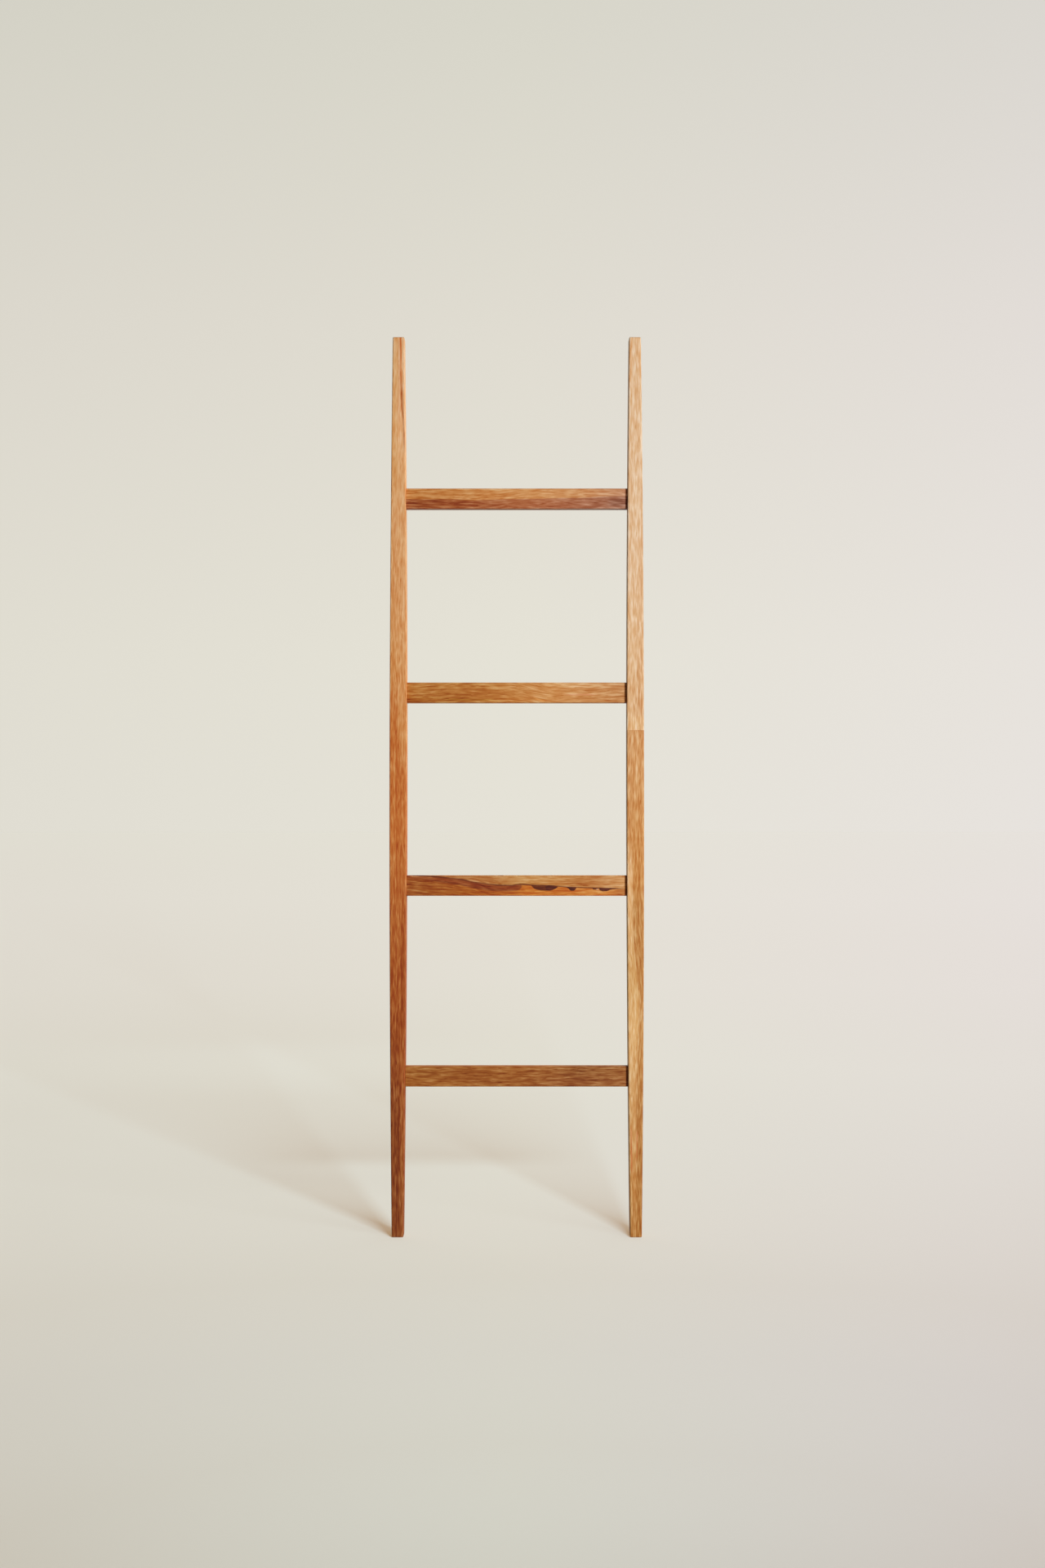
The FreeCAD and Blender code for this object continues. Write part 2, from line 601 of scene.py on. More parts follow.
def build_streak(nodes: Nodes, across: Socket, along: Socket, low: Socket, high: Socket, softness: Socket,
                 start: Socket, end: Socket, fade: Socket) -> tuple[Socket, ...]:
    """Masks what lies between a low and a high line on a board, and between two places along it.

    Args:
        nodes: The effect's nodes.
        across: How far across the board the point lies.
        along: How far along it the point lies.
        low: Where the low line lies across the board.
        high: Where the high line lies.
        softness: How far the mask's sides are blurred.
        start: Where along the board it begins.
        end: Where it ends.
        fade: How far it takes to begin and to end.

    Returns:
        1 inside and 0 outside.
    """
    half = nodes.times(softness, 0.5)
    above = nodes.ease(across, nodes.minus(low, half), nodes.total(low, half))
    below = nodes.ease(across, nodes.minus(high, half), nodes.total(high, half), 1.0, 0.0)
    begun = nodes.ease(along, start, nodes.total(start, fade))
    ended = nodes.ease(along, nodes.minus(end, fade), end, 1.0, 0.0)
    return (nodes.times(above, below, begun, ended),)


def build_arris_wear(nodes: Nodes, side_gap: Socket, face_gap: Socket, along: Socket, seed: Socket
                     ) -> tuple[Socket, ...]:
    """Finds the rubbed arrises, 1.2 to 2.8 mm wide, from how far a point lies inside the sides and the faces."""
    rubbed = nodes.noise(nodes.times(side_gap, 60.0), 1.3, nodes.times(nodes.total(along, seed), 22.0), 3.0, 0.6)
    width = nodes.ease(rubbed, 0.35, 0.7, 1.2 * MM, 2.8 * MM)
    return (nodes.ease(nodes.total(side_gap, face_gap), nodes.times(width, 0.3), width, 1.0, 0.0),)


def build_end_grain(nodes: Nodes, normal: Socket, fibres: Socket) -> tuple[Socket, ...]:
    """Finds the surfaces that cut across the fibres."""
    facing = nodes.add("VectorMath", operation="DOT_PRODUCT")
    nodes.give(facing, normal, fibres)
    return (nodes.ease(nodes.unsigned(facing.outputs["Value"]), 0.5, 0.9),)


WANDER = Effect("grain_wander", ("Across", "Depth", "Along", "Seed", "Drift", "Fray"),
                ("Grain Across", "Ragged Across"), build_wander)
RINGS = Effect("growth_rings", ("Across", "Depth", "Along", "Pith Across", "Pith Depth", "Ring Width", "Seed"),
               ("Late Wood",), build_rings)
FIBRES = Effect("fibres_and_pores", ("Across", "Depth", "Along", "Seed"), ("Bands", "Fibre", "Flecks", "Pores"),
                build_fibres)
STREAK = Effect("streak_mask", ("Across", "Along", "Low", "High", "Softness", "Start", "End", "Fade"), ("Mask",),
                build_streak)
ARRIS_WEAR = Effect("arris_wear", ("Side Gap", "Face Gap", "Along", "Seed"), ("Wear",), build_arris_wear)
END_GRAIN = Effect("end_grain", ("Normal", "Fibre Direction"), ("Mask",), build_end_grain, "Vector")


# ---------------------------------------------------------------- finishes


class Grain(Enum):
    """Which way a board's fibres run."""

    UP = (0.0, 0.0, 1.0)
    SIDEWAYS = (1.0, 0.0, 0.0)


@dataclass(frozen=True)
class Mark:
    """A streak of other wood between two lines drawn along a board, in millimetres.

    Its places are along the board and across it from the board's middle. It deepens the colour under it where deepen
    is positive and pales it where that is negative, or shows a share of a colour of its own.
    """

    low: Points
    high: Points
    deepen: float = 0.0
    colour: Colour | None = None
    share: float = 1.0
    softness: float = 1.5
    fade: float = 20

    def mask(self, nodes: Nodes, ragged: Socket, along: Socket) -> Socket:
        """Finds the streak on the board.

        Args:
            nodes: The board's nodes.
            ragged: How far across the board a point lies, with ragged edges.
            along: How far along it the point lies.

        Returns:
            1 on the streak and 0 away from it.
        """
        [mask] = nodes.use(STREAK, ragged, along, nodes.line(along, self.low), nodes.line(along, self.high),
                           self.softness * MM, self.low[0][0] * MM, self.low[-1][0] * MM, self.fade * MM)
        return mask


def stripe(middle: Points, width: float, **looks: object) -> Mark:
    """Draws a streak of one width along a line, with what else a mark says of its looks."""
    low, high = (tuple((along, across + side * width / 2) for along, across in middle) for side in (-1, 1))
    return Mark(low, high, **looks)


@dataclass(frozen=True)
class Placing:
    """Where a board's middle lies, and how its outline is read in its material, in metres."""

    across: float
    half_depth: float
    half_width: float
    bow: float = 0.0
    mid: float = 0.0
    bow_radius: float = 1.0
    half_length: float = 0.0


@dataclass(frozen=True)
class BoardFinish:
    """Oiled hardwood of one board, with its own tones, figure and marks, and its lengths in millimetres.

    The board's low side is its left side where it stands up and its lower side where it lies across. The depths say
    how much each part of the figure deepens the wood's colour, and how much the painted shade over the last
    millimetres of a rung's right end, where the right rail's shadow falls, deepens it.
    """

    name: str
    slot: str
    grain: Grain
    low_side: Tones
    high_side: Tones
    divide: Points
    bend: Points
    divide_softness: float = 4
    pith: tuple[float, float] = (35, 60)
    ring_width: float = 4.2
    ring_depth: float = 0.16
    band_depth: float = 0.2
    fibre_depth: float = 0.3
    fleck_depth: float = 0.5
    pore_depth: float = 0.35
    end_depth: float = 0.35
    wear_depth: float = -0.05
    glue_depth: float = 0.2
    # Painted shade over the last millimetres of a rung's right end, where the right rail's shadow falls: how much it
    # deepens the wood, and where it begins and where it is full, in millimetres from the end
    painted_shade_depth: float = 0.35
    painted_shade_reach: tuple[float, float] = (5.5, 3.5)
    drift: float = 12
    fray: float = 3.5
    roughness: tuple[float, float] = (0.5, 0.6)
    relief_strength: float = 0.35
    relief_height: float = 0.3
    ior: float = 1.46
    specular: float = 0.22
    seed: float = 0.0
    marks: tuple[Mark, ...] = ()
    glued: bool = False

    def material(self, placing: Placing) -> bpy.types.Material:
        """Builds the board's material.

        Args:
            placing: Where the board lies.

        Returns:
            The material.
        """
        material, nodes = new_material(self.name)
        x, depth, z = nodes.where()
        wide, along = (x, z) if self.grain is Grain.UP else (z, x)
        across = nodes.minus(wide, placing.across)
        drifted, ragged = nodes.use(WANDER, across, depth, along, self.seed, self.drift * MM, self.fray * MM)
        bent = nodes.minus(drifted, nodes.line(along, self.bend))
        [rings] = nodes.use(RINGS, bent, depth, along, self.pith[0] * MM, self.pith[1] * MM, self.ring_width * MM,
                            self.seed)
        bands, fibre, flecks, pores = nodes.use(FIBRES, bent, depth, along, self.seed)
        wear = self.wear(nodes, placing, across, depth, along)
        [ends] = nodes.use(END_GRAIN, nodes.add("TexCoord").outputs["Normal"], self.grain.value)
        depths = [
            nodes.spread(rings, 0.0, 1.0, -0.35 * self.ring_depth, 0.65 * self.ring_depth),
            nodes.swing(bands, 0.3, 0.7, self.band_depth),
            nodes.swing(fibre, 0.25, 0.75, self.fibre_depth),
            nodes.swing(flecks, 0.3, 0.7, self.fleck_depth),
            nodes.times(pores, self.pore_depth),
            nodes.times(ends, self.end_depth),
            nodes.times(wear, self.wear_depth),
        ]
        colour, mark_depths = self.marked(nodes, ragged, along)
        depths += mark_depths
        if self.glued:
            depths.append(nodes.times(self.glue_line(nodes, depth, along), self.glue_depth))
        # Painted shade: a rung darkens over the last few millimetres of its right end, where the right rail's shadow
        # falls
        if placing.half_length:
            start, end = (placing.half_length - reach * MM for reach in self.painted_shade_reach)
            depths.append(nodes.times(nodes.ease(along, start, end), self.painted_shade_depth))
        deepened = nodes.give(nodes.add("Gamma"), Color=colour, Gamma=nodes.total(1.0, *depths))

        rough = nodes.total(nodes.spread(fibre, 0.25, 0.75, *self.roughness), nodes.times(pores, 0.15),
                            nodes.times(wear, -0.07), nodes.times(ends, 0.18))
        relief = nodes.total(nodes.times(fibre, 0.5), nodes.times(pores, -0.9), nodes.times(rings, 0.25))
        shader = nodes.wood(deepened, rough, relief, self.relief_strength, self.relief_height * MM)
        shader.inputs["IOR"].default_value = self.ior
        shader.inputs["Specular IOR Level"].default_value = self.specular
        return material

    def marked(self, nodes: Nodes, ragged: Socket, along: Socket) -> tuple[Socket, list[Socket]]:
        """Draws the board's two sides and its marks.

        Args:
            nodes: The material's nodes.
            ragged: How far across the board a point lies, with ragged edges.
            along: How far along it the point lies.

        Returns:
            The colour there, and how much each mark deepens it.
        """
        half = self.divide_softness * MM / 2
        side = nodes.ease(nodes.minus(ragged, nodes.line(along, self.divide)), -half, half)
        colour = nodes.mix(side, nodes.tones(along, self.low_side, MM, under_oil),
                           nodes.tones(along, self.high_side, MM, under_oil))
        depths = []
        for mark in self.marks:
            mask = mark.mask(nodes, ragged, along)
            if mark.colour is None:
                depths.append(nodes.times(mask, mark.deepen))
            else:
                colour = nodes.mix(nodes.times(mask, mark.share), colour, under_oil(mark.colour))
        return colour, depths

    def wear(self, nodes: Nodes, placing: Placing, across: Socket, depth: Socket, along: Socket) -> Socket:
        """Finds the board's rubbed arrises.

        Args:
            nodes: The material's nodes.
            placing: Where the board lies.
            across: How far across the board a point lies.
            depth: How far back it lies.
            along: How far along the board it lies.

        Returns:
            1 on the arrises and 0 away from them.
        """
        from_mid = nodes.minus(along, placing.mid)
        fall = nodes.math("DIVIDE", nodes.times(from_mid, from_mid), 2 * placing.bow_radius)
        half_width = nodes.minus(placing.half_width + placing.bow, fall)
        [wear] = nodes.use(ARRIS_WEAR, nodes.minus(half_width, nodes.unsigned(across)),
                           nodes.minus(placing.half_depth, nodes.unsigned(depth)), along, self.seed)
        return wear

    def glue_line(self, nodes: Nodes, depth: Socket, along: Socket) -> Socket:
        """Draws the thin dark line where the two lengths of the right rail are glued.

        Args:
            nodes: The material's nodes.
            depth: How far back a point lies.
            along: How high it lies.

        Returns:
            1 on the line and 0 away from it.
        """
        joint = FingerJoint()
        half_pitch = joint.pitch / 2
        swing = nodes.math("PINGPONG", nodes.total(depth, joint.half_reach), half_pitch)
        rise = nodes.spread(swing, joint.tip / 2, half_pitch - joint.tip / 2, 0.0, joint.length)
        inside = nodes.math("LESS_THAN", nodes.unsigned(depth), joint.half_reach)
        line = nodes.total(joint.height, nodes.times(rise, inside))
        return nodes.ease(nodes.unsigned(nodes.minus(along, line)), 0.3 * MM, 0.9 * MM, 1.0, 0.0)


@dataclass(frozen=True)
class DowelFinish:
    """Bare beech of the hidden dowels: pale, with short brown flecks along the pin."""

    name: str = "bare_beech"
    colour: Colour = (222, 188, 146)
    fleck: Colour = (172, 124, 84)
    seed: float = 3.1
    roughness: tuple[float, float] = (0.6, 0.75)
    relief_strength: float = 0.3
    relief_height: float = 0.2

    def material(self) -> bpy.types.Material:
        """Builds the beech material.

        Returns:
            The material.
        """
        material, nodes = new_material(self.name)
        x, y, z = nodes.where()
        _, fibre, _, pores = nodes.use(FIBRES, z, y, x, self.seed)
        [ends] = nodes.use(END_GRAIN, nodes.add("TexCoord").outputs["Normal"], Grain.SIDEWAYS.value)
        flecks = nodes.total(nodes.times(pores, 0.7), nodes.spread(fibre, 0.3, 0.7, 0.0, 0.25),
                             nodes.times(ends, 0.2))
        nodes.wood(nodes.mix(flecks, linear(self.colour), linear(self.fleck)),
                   nodes.spread(fibre, 0.3, 0.7, *self.roughness), nodes.minus(fibre, pores), self.relief_strength,
                   self.relief_height * MM)
        return material


# ---------------------------------------------------------------- the boards' own woods

STRAW: Colour = (230, 191, 150)
BUFF: Colour = (219, 174, 128)
FLAME: Colour = (236, 200, 152)
HONEY: Colour = (222, 167, 115)
CARAMEL: Colour = (206, 148, 93)
AMBER: Colour = (208, 142, 83)
OCHRE: Colour = (190, 133, 75)
RUST: Colour = (194, 115, 58)
RUSSET: Colour = (161, 84, 41)
CHESTNUT: Colour = (146, 81, 43)
BURNT: Colour = (134, 72, 40)
WALNUT: Colour = (155, 95, 47)
MAROON: Colour = (112, 52, 31)
RESIN: Colour = (66, 30, 20)

MIDDLE = ((0, 0), (1700, 0))
WHOLE_LOW, WHOLE_HIGH = -30, 30

LEFT_RAIL_WOOD = BoardFinish(
    name="amber_to_russet_wood", slot="left_rail", grain=Grain.UP, seed=0.7,
    low_side=((0, BURNT), (240, (138, 73, 39)), (450, RUSSET), (760, RUST), (970, RUST), (1070, AMBER), (1450, HONEY),
              (1530, (230, 175, 124)), (1700, HONEY)),
    high_side=((0, CHESTNUT), (260, (160, 88, 45)), (500, RUSSET), (760, RUST), (860, RUST), (940, AMBER),
               (1450, HONEY), (1530, (230, 175, 124)), (1700, HONEY)),
    divide=((0, 4), (200, 4.5), (400, 4), (800, 3), (970, 0), (1700, 0)), divide_softness=10, drift=8,
    ring_depth=0.08, band_depth=0.12,
    bend=((0, -4), (250, 0), (600, 3), (1000, 0), (1350, -1), (1580, 3), (1700, 2)),
    marks=(
        Mark(((1360, -20), (1740, -20)), ((1360, -1), (1740, -1)), colour=(216, 160, 98), share=0.5, softness=4,
             fade=100),
        Mark(((1500, -0.8), (1740, -0.4)), ((1500, 2.6), (1740, 2.6)), colour=(224, 172, 130), share=0.6, softness=2,
             fade=80),
        Mark(((1550, 9.5), (1600, 8.5), (1740, 7.8)), ((1550, 20), (1740, 20)), colour=(226, 182, 138), share=0.6,
             softness=2, fade=50),
        stripe(((1550, 7.6), (1630, 4.8), (1740, 4)), 3.6, colour=(204, 116, 60), share=0.88, softness=2, fade=20),
        stripe(((1470, 11.5), (1510, 10.6), (1550, 9), (1590, 6.6), (1630, 5.2)), 2.8, colour=(172, 108, 66),
               share=0.65, softness=2.2, fade=30),
        stripe(((620, -1.5), (800, -3.5), (1020, -2)), 2.2, deepen=0.14, softness=2.4, fade=60),
        stripe(((660, 2.4), (840, 1), (990, 2.2)), 1.8, deepen=0.12, softness=2, fade=50),
        stripe(((330, 8.5), (500, 7.5), (660, 8.5)), 2.6, deepen=0.14, softness=2.2, fade=40),
        stripe(((20, -1), (100, -0.6), (170, 0.6), (240, 3), (325, 6)), 3.2, deepen=0.22, softness=2.6, fade=50),
        stripe(((200, -6), (270, -2.2), (370, 4)), 2.4, deepen=-0.14, softness=3, fade=40),
    ),
)

RIGHT_RAIL_UPPER_WOOD = BoardFinish(
    name="pale_straw_wood", slot="right_rail_upper", grain=Grain.UP, seed=5.3,
    low_side=((954, BUFF), (1040, BUFF), (1100, (225, 185, 142)), (1280, (226, 187, 147)), (1700, STRAW)),
    high_side=((954, (216, 170, 124)), (1040, (217, 171, 125)), (1100, (223, 182, 139)), (1280, (226, 187, 147)),
               (1700, STRAW)),
    divide=MIDDLE, ring_depth=0.08, fleck_depth=0.72, band_depth=0.16, glued=True,
    bend=((950, 2), (1200, 0), (1450, -2), (1700, 1)),
    marks=(
        Mark(((938, WHOLE_LOW), (990, WHOLE_LOW)), ((938, WHOLE_HIGH), (990, WHOLE_HIGH)), colour=FLAME, share=0.4,
             fade=17),
        Mark(((930, 10.5), (1500, 10.5)), ((930, 20), (1500, 20)), colour=CARAMEL, share=0.35, softness=3, fade=100),
        Mark(((1440, -1), (1620, 1)), ((1440, 6), (1620, 6)), deepen=0.1, softness=4, fade=60),
        Mark(((1560, -20), (1740, -20)), ((1560, -7.5), (1740, -4.5)), colour=(226, 170, 116), share=0.55, softness=3,
             fade=70),
        Mark(((1600, 5.5), (1740, 4.5)), ((1600, 20), (1740, 20)), colour=(226, 174, 122), share=0.4, softness=3,
             fade=50),
    ),
)

RIGHT_RAIL_LOWER_WOOD = BoardFinish(
    name="honey_and_ochre_wood", slot="right_rail_lower", grain=Grain.UP, seed=9.1,
    low_side=((0, (183, 124, 66)), (100, (202, 147, 88)), (300, (213, 164, 108)), (390, (222, 176, 119)),
              (500, (212, 165, 107)), (670, (226, 180, 128)), (740, (203, 144, 86)), (954, (206, 150, 97))),
    high_side=((0, (179, 121, 63)), (220, (179, 120, 64)), (320, OCHRE), (620, OCHRE), (670, (200, 140, 78)),
               (740, (202, 142, 82)), (954, (208, 152, 98))),
    divide=((0, 0), (135, 1), (210, 1), (350, 3), (438, 6.4), (486, 2.3), (609, -5.5), (730, -5.8), (954, -5)),
    divide_softness=6, glued=True, drift=8, ring_depth=0.08, band_depth=0.12, fleck_depth=0.6,
    bend=((0, 0), (200, 1), (440, 6), (610, -3), (950, 0)),
    marks=(
        Mark(((860, -1.5), (970, -1.5)), ((860, 3.5), (970, 3.5)), deepen=-0.1, softness=4, fade=30),
        stripe(((115, -8), (160, -8.6), (215, -9.2)), 2.8, colour=(208, 122, 78), share=0.6, softness=2, fade=20),
        stripe(((140, 1.4), (170, 2.2), (205, 3)), 2.6, colour=(208, 122, 78), share=0.6, softness=2, fade=15),
        Mark(((-30, WHOLE_LOW), (115, WHOLE_LOW)), ((-30, WHOLE_HIGH), (115, WHOLE_HIGH)), deepen=0.06, fade=60),
    ),
)

RUNG_1_WOOD = BoardFinish(
    name="even_walnut_brown_wood", slot="rung_1", grain=Grain.SIDEWAYS, seed=2.2,
    low_side=((-210, (158, 96, 47)), (0, (158, 97, 49)), (60, (149, 88, 46)), (120, (144, 85, 46)),
              (210, (150, 91, 49))),
    high_side=((-210, WALNUT), (-100, (154, 92, 45)), (0, (160, 98, 49)), (60, (158, 98, 51)), (120, (139, 83, 44)),
               (210, (155, 97, 52))),
    divide=((-210, 0), (210, 0)), divide_softness=20, bend=((-210, 0), (210, 0)), drift=4, band_depth=0.14,
)

HEART_TOP = ((-212, 20.5), (-180, 18.5), (-153, 17), (-131, 14.8), (-116, 13.2), (-98, 10.4), (-85, 7.4), (-67, 4.9),
             (-50, 2.6), (-32, 1.2), (-10, 0.8), (3, 2.2), (12, 2.2), (34, 1), (56, 0.4), (76, -0.7), (100, -2.6),
             (122, -3), (149, -4.3), (184, -5.7), (212, -6.4))
HEART_FOOT = ((-212, 15), (-180, 12.8), (-153, 7.6), (-131, 4.9), (-109, 1.5), (-94, -2), (-76, -5.7), (-58, -8.4),
              (-41, -10), (-21, -10.6), (-4, -10), (3, -8.6), (7.5, -5), (11.5, 0.6))

RUNG_2_WOOD = BoardFinish(
    name="two_tone_heart_wood", slot="rung_2", grain=Grain.SIDEWAYS, seed=7.4,
    low_side=((-210, (147, 80, 40)), (-100, (160, 84, 36)), (-20, (174, 93, 38)), (20, (196, 114, 46)),
              (170, (197, 117, 52)), (210, (180, 114, 60))),
    high_side=((-210, (172, 106, 56)), (-110, (177, 113, 63)), (-50, (181, 119, 66)), (0, (194, 138, 79)),
               (70, (198, 141, 82)), (120, (182, 118, 62)), (155, (184, 120, 66)), (200, (200, 142, 86))),
    divide=HEART_TOP, divide_softness=1.4, bend=((-210, 12), (-100, 6), (-30, -3), (210, -4)), drift=3, fray=2.8,
    marks=(
        Mark(HEART_FOOT, HEART_TOP, colour=(136, 68, 40), share=0.78, softness=2.6, fade=4),
        stripe(((-175, 14.2), (-130, 9), (-90, 3), (-55, -3), (-20, -5.5), (4, -4)), 1.6, colour=(160, 82, 46),
               share=0.6, softness=1.6, fade=20),
        stripe(((-160, 9.6), (-120, 5.2), (-85, -2), (-50, -6.8), (-15, -8.2)), 1.5, colour=MAROON, share=0.6,
               softness=1.4, fade=20),
        stripe(((-206, 16.8), (-175, 16.6), (-150, 14)), 1.6, colour=(196, 124, 70), share=0.55, softness=1.4,
               fade=12),
        stripe(HEART_TOP, 2.1, colour=(92, 40, 24), share=0.85, softness=1.3, fade=25),
        Mark(((26.5, 0), (30, -2.9), (34.2, -6.2), (41, -8.4), (56, -9.6), (67, -8.5), (74, -5.1), (79, -1.8)),
             ((26.5, 1.6), (56, 0.6), (79, -0.6)), colour=(98, 47, 28), share=0.95, softness=1.4, fade=3),
        Mark(((52, -3), (58, -8.8), (67, -7.8), (74, -4.5), (78, -2.2)), ((52, -1.2), (78, -1.2)), colour=RESIN,
             share=0.75, softness=1.6, fade=4),
        Mark(((93.5, -2.2), (98, -6), (104, -9.6), (109, -8.6), (113.5, -3.4)), ((93.5, -1.8), (113.5, -2.8)),
             colour=RESIN, share=0.95, softness=1.3, fade=2),
        Mark(((142, -4), (145.5, -7.4), (150.5, -7), (153, -4.5)), ((142, -3.6), (153, -4.2)), colour=(84, 38, 24),
             share=0.85, softness=1.2, fade=2),
        Mark(((154.5, -4.5), (158, -8.8), (164.5, -10.4), (171, -9.8), (178, -7.4), (187.5, -6)),
             ((154.5, -4), (187.5, -5.4)), colour=(70, 32, 22), share=0.95, softness=1.3, fade=2),
        stripe(((149.5, -6.6), (155.5, -7.2)), 2.2, colour=(186, 150, 120), share=0.6, softness=1.6, fade=2),
    ),
)

RUNG_3_WOOD = BoardFinish(
    name="golden_figured_wood", slot="rung_3", grain=Grain.SIDEWAYS, seed=12.6,
    low_side=((-210, (168, 101, 45)), (-120, (169, 103, 47)), (0, (190, 122, 60)), (60, (200, 136, 76)),
              (210, (184, 121, 69))),
    high_side=((-210, (174, 108, 51)), (-100, (178, 112, 54)), (-40, (184, 118, 58)), (0, (194, 131, 71)),
               (60, (205, 145, 86)), (120, (203, 144, 88)), (210, (190, 131, 80))),
    divide=((-210, -10), (210, -10)), divide_softness=10,
    bend=((-210, 4), (-50, 7), (-12, 6), (30, 0), (72, -7), (120, -8), (210, -5)), ring_depth=0.26, drift=6,
    marks=(
        stripe(((-150, -12), (-100, -12.8), (-30, -13.8)), 2.6, colour=(176, 128, 50), share=0.4, softness=2,
               fade=30),
        stripe(((85, -4), (120, -3.6), (158, -4.4)), 2.8, colour=(206, 128, 86), share=0.5, softness=2, fade=20),
        stripe(((30, -8), (36, -11.2), (44, -14.2), (56, -16)), 3.4, colour=(224, 163, 94), share=0.7, softness=2.2,
               fade=8),
    ),
)

RUNG_4_WOOD = BoardFinish(
    name="russet_and_honey_wood", slot="rung_4", grain=Grain.SIDEWAYS, seed=17.9,
    low_side=((-210, (154, 86, 51)), (-120, (161, 90, 52)), (0, (179, 112, 73)), (50, (179, 113, 77)),
              (130, (167, 105, 75)), (210, (154, 100, 76))),
    high_side=((-210, (190, 122, 64)), (-120, (197, 131, 73)), (-50, (204, 140, 82)), (50, (209, 149, 94)),
               (130, (203, 142, 92)), (210, (192, 136, 100))),
    divide=((-210, -1.3), (-120, -1.6), (-87, -3.5), (-65, -2.2), (-32, -1.3), (12, -0.6), (78, 0.4), (122, 1.5),
            (167, 4), (210, 4.5)), divide_softness=3,
    bend=((-210, 1), (-80, -3), (60, 3), (210, 0)), band_depth=0.26, drift=4,
    marks=(
        stripe(((-212, -6.8), (-150, -7.8), (-70, -8.2)), 1.7, deepen=0.18, softness=1.6, fade=30),
        stripe(((-190, -12.2), (-100, -12.8), (-20, -11.6), (70, -12.4)), 1.5, deepen=0.16, softness=1.6, fade=40),
        stripe(((-50, -5.8), (40, -4.6), (120, -3.4)), 1.4, deepen=0.14, softness=1.6, fade=30),
        # Painted shade: a darker, greyer patch over the lower part of the rung's right end, beside the right rail
        Mark(((165, -13.5), (216, -15)), ((165, -3), (216, -1)), colour=(126, 84, 68), share=0.4, softness=4,
             fade=20),
    ),
)


# ---------------------------------------------------------------- the pieces


@dataclass(frozen=True)
class FingerJoint:
    """The joint across the right rail, whose fingers show on its sides and whose line is straight in front."""

    height: float = 0.954
    half_reach: float = 0.015
    pitch: float = 0.005
    count: int = 6
    tip: float = 0.001
    length: float = 0.010
    margin: float = 0.01

    def space_above(self, rail: "Rail") -> bpy.types.Object:
        """Shapes the space above the joint, with the upper length's side of the fingers as its underside.

        Args:
            rail: The rail that the joint crosses.

        Returns:
            A cutting solid.
        """
        front = -rail.depth / 2 - self.margin
        start = -self.half_reach + self.tip / 2
        across = rail.end_width / 2 + rail.bow + self.margin
        deselect_everything()
        bpy.ops.mesh.primitive_plane_add(size=1.0, location=(rail.centre, (front + start) / 2, self.height),
                                         scale=(2 * across, start - front, 1.0))
        space = bpy.context.object
        settle()
        flank = self.pitch / 2 - self.tip
        finger = ((flank, self.length), (self.tip, 0.0), (flank, -self.length), (self.tip, 0.0))
        steps = list(finger) * self.count
        steps[-1] = (rail.depth / 2 + self.margin + self.tip - self.half_reach, 0.0)
        with editing(space):
            pick(space, "edges", lambda ends: all(p.y > start - EPSILON for p in ends))
            for back, up in steps:
                bpy.ops.mesh.extrude_edges_move(TRANSFORM_OT_translate={"value": (0.0, back, up)})
            bpy.ops.mesh.select_all(action="SELECT")
            bpy.ops.mesh.extrude_region_move(TRANSFORM_OT_translate={"value": (0.0, 0.0, rail.length)})
            bpy.ops.mesh.select_all(action="SELECT")
            bpy.ops.mesh.normals_make_consistent(inside=False)
        return space


@dataclass(frozen=True)
class DowelHoles:
    """The holes that the dowels of one rail or one rung sit in."""

    radius: float = 0.00405
    spare_depth: float = 0.001
    facets: int = 40

    def bore(self, board: bpy.types.Object, named: str) -> None:
        """Bores a board for its dowels.

        Args:
            board: The board to bore.
            named: What the nodes of its dowels have in their names.
        """
        holes = []
        for dowel in (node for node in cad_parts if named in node):
            low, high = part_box(dowel)
            deselect_everything()
            bpy.ops.mesh.primitive_cylinder_add(vertices=self.facets, radius=self.radius,
                                                depth=high.x - low.x + 2 * self.spare_depth,
                                                location=(low + high) / 2, rotation=(0.0, math.pi / 2, 0.0))
            settle()
            holes.append(bpy.context.object)
        only(holes[0])
        for hole in holes:
            hole.select_set(True)
        bpy.ops.object.join()
        bores = bpy.context.object
        cut(board, bores)
        discard(bores)


